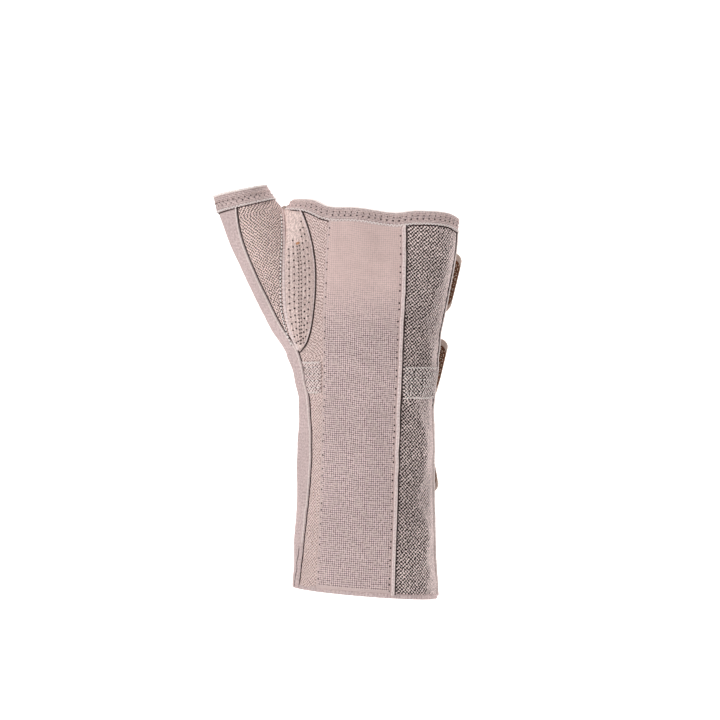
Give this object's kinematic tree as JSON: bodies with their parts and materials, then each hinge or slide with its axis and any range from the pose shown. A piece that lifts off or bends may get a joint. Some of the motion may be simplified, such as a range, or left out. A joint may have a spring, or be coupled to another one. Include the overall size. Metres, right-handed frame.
{
  "type": "wrist splint",
  "caption": "Elastic wrist splint with a thumb sleeve, a palmar stay in a pocket and hook-and-loop straps across the back.",
  "frame": {"origin": "middle of the forearm opening, on the plane of the forearm hem", "axes": "+Z along the forearm towards the fingers, -Y the palm side, -X the thumb side"},
  "size_m": [0.1328, 0.057, 0.218],
  "materials": {
    "woven_panel": "fine grid weave, slight sheen",
    "smooth_knit": "smooth knit, faint ribs",
    "loop_fabric": "brushed loop pile",
    "elastic_band": "flat elastic with zigzag stitches",
    "binding": "folded knit binding with dotted stitches",
    "piping": "smooth corded piping",
    "strap_webbing": "woven strap, light edges",
    "hook_tape": "moulded hooks",
    "lining": "plain cotton",
    "stay_aluminium": "satin",
    "stay_steel": "satin"
  },
  "bodies": {
    "sleeve": {"palmar_pocket_panel": "woven_panel", "pocket_lining": "lining", "pocket_piping": "piping", "radial_palm_strip": "loop_fabric", "ulnar_palm_panel": "loop_fabric", "wrist_band_radial": "elastic_band", "wrist_band_ulnar": "elastic_band", "radial_side_band": "smooth_knit", "thumb_palmar_panel": "loop_fabric", "thumb_dorsal_panel": "loop_fabric", "thumb_web_gusset": "smooth_knit", "dorsal_radial_panel": "loop_fabric", "dorsal_ulnar_panel": "loop_fabric", "ulnar_edge_piping": "piping", "opening_edge_binding": "binding", "palm_hem": "binding", "thumb_hem": "binding", "forearm_hem": "smooth_knit", "thumb_stay": "stay_steel", "thumb_stay_sleeve": "lining", "ulnar_back_stay": "stay_steel", "ulnar_back_stay_sleeve": "lining"},
    "flap": {"flap_panel": "loop_fabric", "flap_edge_binding": "binding", "flap_palm_hem": "binding", "flap_forearm_hem": "smooth_knit", "flap_stay": "stay_steel", "flap_stay_sleeve": "lining", "strap_anchor_lower": "strap_webbing", "strap_anchor_middle": "strap_webbing", "strap_anchor_upper": "strap_webbing"},
    "stay": {"palmar_stay": "stay_aluminium"},
    "closure_lower": {"strap_lower": "strap_webbing", "hook_patch_lower": "hook_tape"},
    "closure_middle": {"strap_middle": "strap_webbing", "hook_patch_middle": "hook_tape"},
    "closure_upper": {"strap_upper": "strap_webbing", "hook_patch_upper": "hook_tape"}
  },
  "joints": [
    {"name": "flap_fold", "type": "hinge", "parent": "sleeve", "child": "flap", "pos_m": [-0.022, 0.0234, 0], "axis": [0, -0.0718, 0.9974], "range_deg": [0, 65]},
    {"name": "stay_slide", "type": "slide", "parent": "sleeve", "child": "stay", "axis": [0, 0, -1], "range_m": [0, 0.19]},
    {"name": "strap_peel_lower", "type": "hinge", "parent": "flap", "child": "closure_lower", "pos_m": [-0.004, 0.0266, 0.054], "axis": [0, -0.0847, 0.9964], "range_deg": [0, 120]},
    {"name": "strap_peel_middle", "type": "hinge", "parent": "flap", "child": "closure_middle", "pos_m": [-0.004, 0.02255, 0.103], "axis": [0, -0.0788, 0.9969], "range_deg": [0, 120]},
    {"name": "strap_peel_upper", "type": "hinge", "parent": "flap", "child": "closure_upper", "pos_m": [-0.004, 0.01885, 0.1485], "axis": [0, -0.0888, 0.996], "range_deg": [0, 120]}
  ]
}
